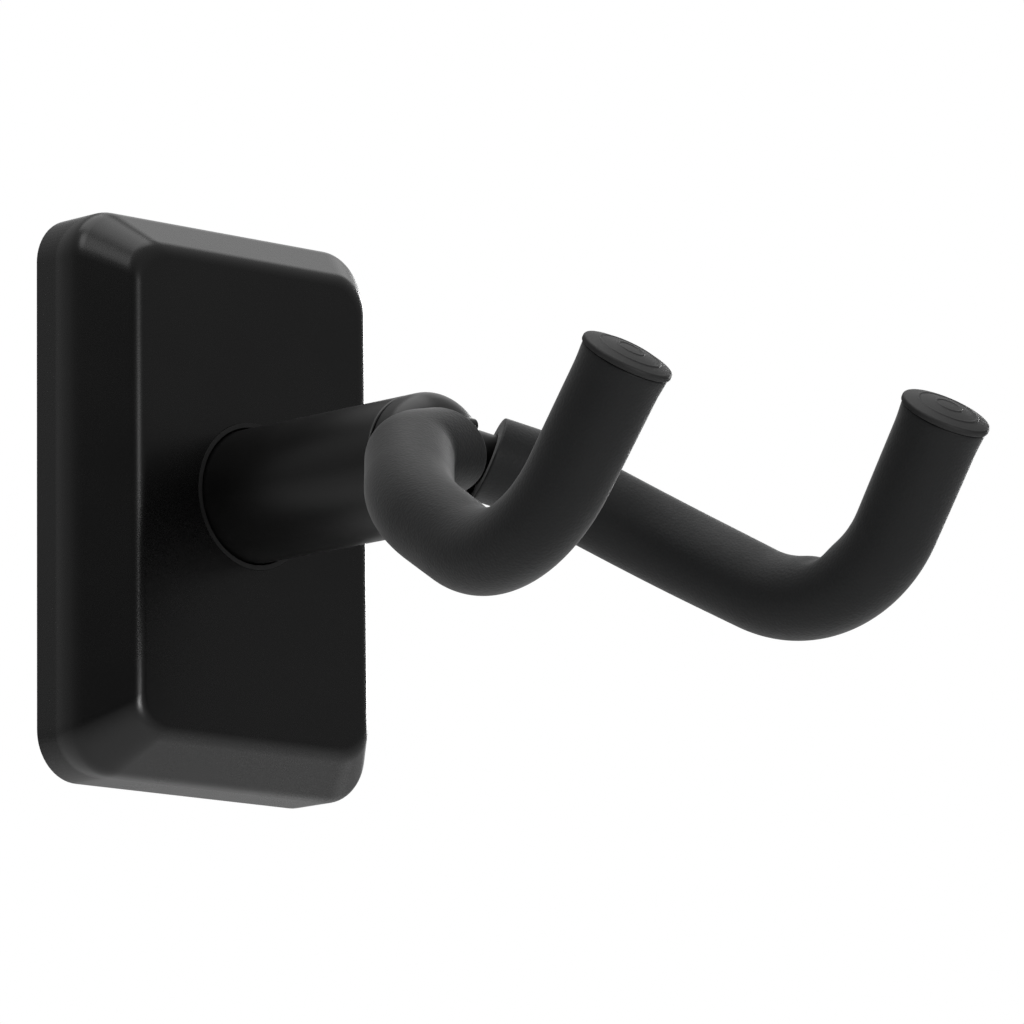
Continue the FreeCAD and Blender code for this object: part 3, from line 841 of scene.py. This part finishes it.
    def build_foam(self, side: int, name: str) -> bpy.types.Object:
        """One foam sleeve.

        A closed section of (distance, radius) is carried along the arm: over the slanting end, up
        the outside, over the square end, and back through the bore. Near the slanting end each
        point's distance is shifted by -radius * (cut . ring) / (cut . direction), which puts the
        end into the cut's plane, and the shift fades out over a few millimetres. At the last bend
        the side towards the arc's centre is pushed in by a crease, depth * bell along the arm *
        bell round the sleeve.
        """
        path = self.arm(side)
        start = self.foam_start
        end = self.seat()
        edge = self.foam_edge
        steps = 132
        along = np.linspace(start + edge, end - edge, 240)
        turn = np.linspace(0, math.pi / 2, 6)
        rounding = edge * (1 - np.sin(turn))
        inset = edge * (1 - np.cos(turn))
        face = np.linspace(self.bore, self.foam_radius - edge * 1.3, 4)
        flat = len(face)
        distance = np.concatenate([np.full(flat, start), start + inset[1:], along[1:],
                                   end - rounding[1:], np.full(flat, end), along[::-8]])
        outer = self.foam_profile(path, distance)
        radius = outer.copy()
        bend = len(turn) - 1
        first = slice(flat, flat + bend)
        last = slice(first.stop + len(along) - 1, first.stop + len(along) - 1 + bend)
        radius[:flat] = face
        radius[first] = outer[first] - edge + edge * np.sin(turn[1:])
        radius[last] = outer[last] - inset[1:]
        radius[last.stop:last.stop + flat] = face[::-1]
        radius[last.stop + flat:] = self.bore
        middle, _, normal = path.last_bend()
        ring = self.ring_at(path, distance, steps)
        _, directions = path.at(distance)
        cut = np.array(self.foam_cut) * np.array((side, 1, 1))
        slope = (ring @ cut) / (directions @ cut)[:, None]
        fade = np.clip(1 - (distance - start) / self.foam_slant_reach, 0, 1)[:, None]
        spread = distance[:, None] - radius[:, None] * slope * fade
        inward = unit(np.cross(normal[None], directions))
        facing = (ring * inward[:, None]).sum(-1)
        bell_along = np.exp(-((distance - middle) / self.crease_length) ** 2)[:, None]
        bell_round = np.exp(-((1 - facing) / self.crease_breadth) ** 2)
        on_outside = (np.arange(len(distance)) < last.start)[:, None]
        crease = self.crease_depth * bell_along * bell_round * on_outside
        return make_surface(name, self.carried(path, spread, radius[:, None] - crease, steps))

    def build_cap(self, side: int, name: str) -> bpy.types.Object:
        """One end cap: a low dome with two fine raised rings, a rounded flange and a stem.

        The dome's height is top * (1 - (radius / rim)^2), and each ring adds a bell in the radius.
        """
        path = self.arm(side)
        points, directions = path.at(np.array([self.seat()]))
        edge = self.cap_edge
        rim = self.cap_radius - edge
        radius = np.linspace(0, rim, 110)
        turn = np.linspace(0, math.pi / 2, 8)[1:]
        dome = self.cap_flange + (self.cap_thick - self.cap_flange) * (1 - (radius / rim) ** 2)
        for place in self.cap_rings:
            dome += self.cap_relief * np.exp(-((radius - place) / self.cap_line) ** 4)
        edge_radius = rim + edge * np.sin(turn)
        edge_height = self.cap_flange - edge * (1 - np.cos(turn))
        stem = self.stem_radius - 0.02 * MM
        below = np.array([
            (self.cap_radius, 0.25 * MM), (self.cap_radius - 0.07 * MM, 0.07 * MM),
            (self.cap_radius - 0.25 * MM, 0.0), (stem + 0.6 * MM, 0.0), (stem, -0.1 * MM),
            (stem, -self.stem_length + 0.5 * MM), (stem - 0.5 * MM, -self.stem_length),
            (0.0, -self.stem_length),
        ])
        section = np.concatenate([
            np.stack([radius, dome], axis=-1), np.stack([edge_radius, edge_height], axis=-1), below,
        ])
        grid = revolved(section, Vector(points[0]), Vector(directions[0]), 144)
        return make_surface(name, grid, close_rows=False)

    def dress(self, dresser: Dresser) -> None:
        """Build rod, foam and caps and put them on the yoke's body."""
        dresser.piece(self.build_rod(), "yoke", Slot.BLACK_POWDER, "yoke_rod")
        for side, word in ((-1, "left"), (1, "right")):
            foam = dresser.piece(self.build_foam(side, "foam_" + word), "yoke", Slot.BLACK_FOAM,
                                 "foam_sleeve_" + word)
            dresser.piece(self.build_cap(side, "cap_" + word), "yoke", Slot.BLACK_RUBBER, "end_cap_" + word)


@dataclass
class Hardware:
    """The CAD nodes that stay in view, and their slots."""

    finishes: dict[str, Slot] = field(default_factory=lambda: {
        "wall_plate": Slot.ZINC_STEEL,
        "post_weld": Slot.BLACK_POWDER,
        "cover_clips": Slot.SPRING_STEEL,
        "clip_rivets": Slot.ZINC_STEEL,
        "post_plug": Slot.ZINC_STEEL,
        "pivot_bush": Slot.BRONZE,
        "swivel_head": Slot.BLACK_POWDER,
        "swivel_stud": Slot.ZINC_STEEL,
        "stop_pin": Slot.SPRING_STEEL,
        "thrust_washer": Slot.WHITE_NYLON,
        "spring_washer": Slot.SPRING_STEEL,
        "flat_washer": Slot.ZINC_STEEL,
        "lock_nut": Slot.ZINC_STEEL,
        "lock_nut_insert": Slot.BLUE_NYLON,
        "yoke_weld": Slot.BLACK_POWDER,
    })

    def dress(self, dresser: Dresser) -> None:
        """Give each node its finish."""
        for node, slot in self.finishes.items():
            dresser.carried(node, slot)


# ---------------------------------------------------------------------------------------------
# Studio
# ---------------------------------------------------------------------------------------------
@dataclass
class SoftBox:
    """One square studio light."""

    name: str
    place: tuple[float, float, float]
    size: float
    power: float

    def build(self, target: Vector) -> None:
        """Make the light and point it at target."""
        light = bpy.data.lights.new(self.name, "AREA")
        light.size = self.size
        light.energy = self.power
        made = bpy.data.objects.new(self.name, light)
        made.location = self.place
        made.rotation_euler = (target - Vector(self.place)).to_track_quat("-Z", "Y").to_euler()
        bpy.context.scene.collection.objects.link(made)


@dataclass
class Studio:
    """Camera, lights, floor and the pale surroundings."""

    azimuth: float = -43.85
    elevation: float = -10.03
    roll: float = -0.67
    distance: float = 1.3903
    lens: float = 263.671875
    sensor: float = 36.0
    shift_right: float = 30.94 * MM
    shift_up: float = -5.55 * MM
    look_depth: float = 45.85 * MM
    floor_height: float = -0.60
    floor_size: float = 30.0
    level: float = 0.17
    from_above: float = 0.35
    from_below: float = 0.25
    backdrop: float = 0.65
    shade: float = 0.20
    lit_point: tuple[float, float, float] = (0.0, -0.09, -0.01)
    backdrop_edge: float = 0.93
    backdrop_softness: float = 0.06
    backdrop_side: tuple[float, float, float] = (0.68, 0.71, 0.17)
    shade_side: tuple[float, float, float] = (-0.65, -0.60, -0.35)
    lights: list[SoftBox] = field(default_factory=lambda: [
        SoftBox("key_upper_left", (-1.2, -0.5, 1.2), 0.8, 4.5),
        SoftBox("front_low", (-0.12, -1.15, -0.01), 0.26, 3.0),
        SoftBox("rim_right", (1.2, 0.4, 0.3), 0.4, 6.0),
        SoftBox("overhead_right", (1.0, 0.6, 1.0), 0.8, 1.1),
        SoftBox("floor_wash", (0.0, 0.0, 2.2), 2.0, 18.0),
    ])

    def build_camera(self) -> None:
        """A long lens from the front left and a little below the post."""
        azimuth = math.radians(self.azimuth)
        elevation = math.radians(self.elevation)
        back = Vector((math.sin(azimuth) * math.cos(elevation), -math.cos(azimuth) * math.cos(elevation),
                       math.sin(elevation)))
        right = Vector((math.cos(azimuth), math.sin(azimuth), 0.0))
        up = back.cross(right)
        target = Vector((0.0, -self.look_depth, 0.0)) + right * self.shift_right + up * self.shift_up
        turn = Matrix.Rotation(math.radians(self.roll), 3, back)
        axes = Matrix((turn @ right, turn @ up, back)).transposed()
        camera = bpy.data.cameras.new("camera")
        camera.sensor_width = self.sensor
        camera.lens = self.lens
        camera.clip_start = 0.05
        camera.clip_end = 20.0
        made = bpy.data.objects.new("camera", camera)
        made.matrix_world = Matrix.Translation(target + back * self.distance) @ axes.to_4x4()
        bpy.context.scene.collection.objects.link(made)
        bpy.context.scene.camera = made

    def build_floor(self) -> None:
        """A plain pale floor well below the hanger."""
        half = self.floor_size / 2
        z = self.floor_height
        mesh = bpy.data.meshes.new("floor")
        corners = [(-half, -half, z), (half, -half, z), (half, half, z), (-half, half, z)]
        mesh.from_pydata(corners, [], [(0, 1, 2, 3)])
        floor = bpy.data.objects.new("floor", mesh)
        bpy.context.scene.collection.objects.link(floor)
        material = bpy.data.materials.new("floor_pale")
        material.use_nodes = True
        graph = Graph(material.node_tree)
        blotch = graph.noise(0.4, 2.0)
        shader = graph.node("ShaderNodeBsdfPrincipled", None,
                            {"Base Color": graph.mix(blotch, grey(0.78), grey(0.82)), "Roughness": 0.9})
        output = graph.node("ShaderNodeOutputMaterial")
        graph.tree.links.new(shader.outputs[0], output.inputs["Surface"])
        floor.data.materials.append(material)

    def build_world(self) -> None:
        """White background, and for lighting an even level with a bright backdrop and a dim corner.

        The light from a direction is level + from_above * height + from_below * depth, plus backdrop
        * the square of a ramp from 0 to 1 near the backdrop's side, less shade * the square of how
        far the direction points to the dim corner.
        """
        world = bpy.data.worlds.new("studio")
        world.use_nodes = True
        graph = Graph(world.node_tree)
        direction = graph.node("ShaderNodeTexCoord").outputs["Generated"]
        height = graph.towards(direction, (0.0, 0.0, 1.0))
        facing = graph.towards(direction, self.backdrop_side)
        behind = ((facing - self.backdrop_edge) / self.backdrop_softness).clamped()
        corner = graph.towards(direction, self.shade_side).clamped()
        light = (height.clamped() * self.from_above + (0.0 - height).clamped() * self.from_below
                 + behind * behind * self.backdrop - corner * corner * self.shade + self.level)
        rays = graph.node("ShaderNodeLightPath")
        glow = graph.node("ShaderNodeBackground", None, {"Color": grey(1.0), "Strength": light})
        white = graph.node("ShaderNodeBackground", None, {"Color": grey(1.0), "Strength": 1.0})
        chosen = graph.node("ShaderNodeMixShader", None, {
            0: rays.outputs["Is Camera Ray"], 1: glow.outputs[0], 2: white.outputs[0]})
        output = graph.node("ShaderNodeOutputWorld")
        graph.tree.links.new(chosen.outputs[0], output.inputs["Surface"])
        bpy.context.scene.world = world
        bpy.context.scene.view_settings.view_transform = "Standard"

    def build(self) -> None:
        """Set up the whole studio."""
        self.build_camera()
        self.build_floor()
        self.build_world()
        for light in self.lights:
            light.build(Vector(self.lit_point))


def main() -> None:
    """Build the studio and the hanger's sub-assemblies in order."""
    logging.basicConfig(level=logging.INFO, format="%(message)s")
    Studio().build()
    dresser = Dresser(frame["nodes"])
    for assembly in (WallCover(), Post(), Yoke(), Hardware()):
        assembly.dress(dresser)


if __name__ == "__main__":
    main()
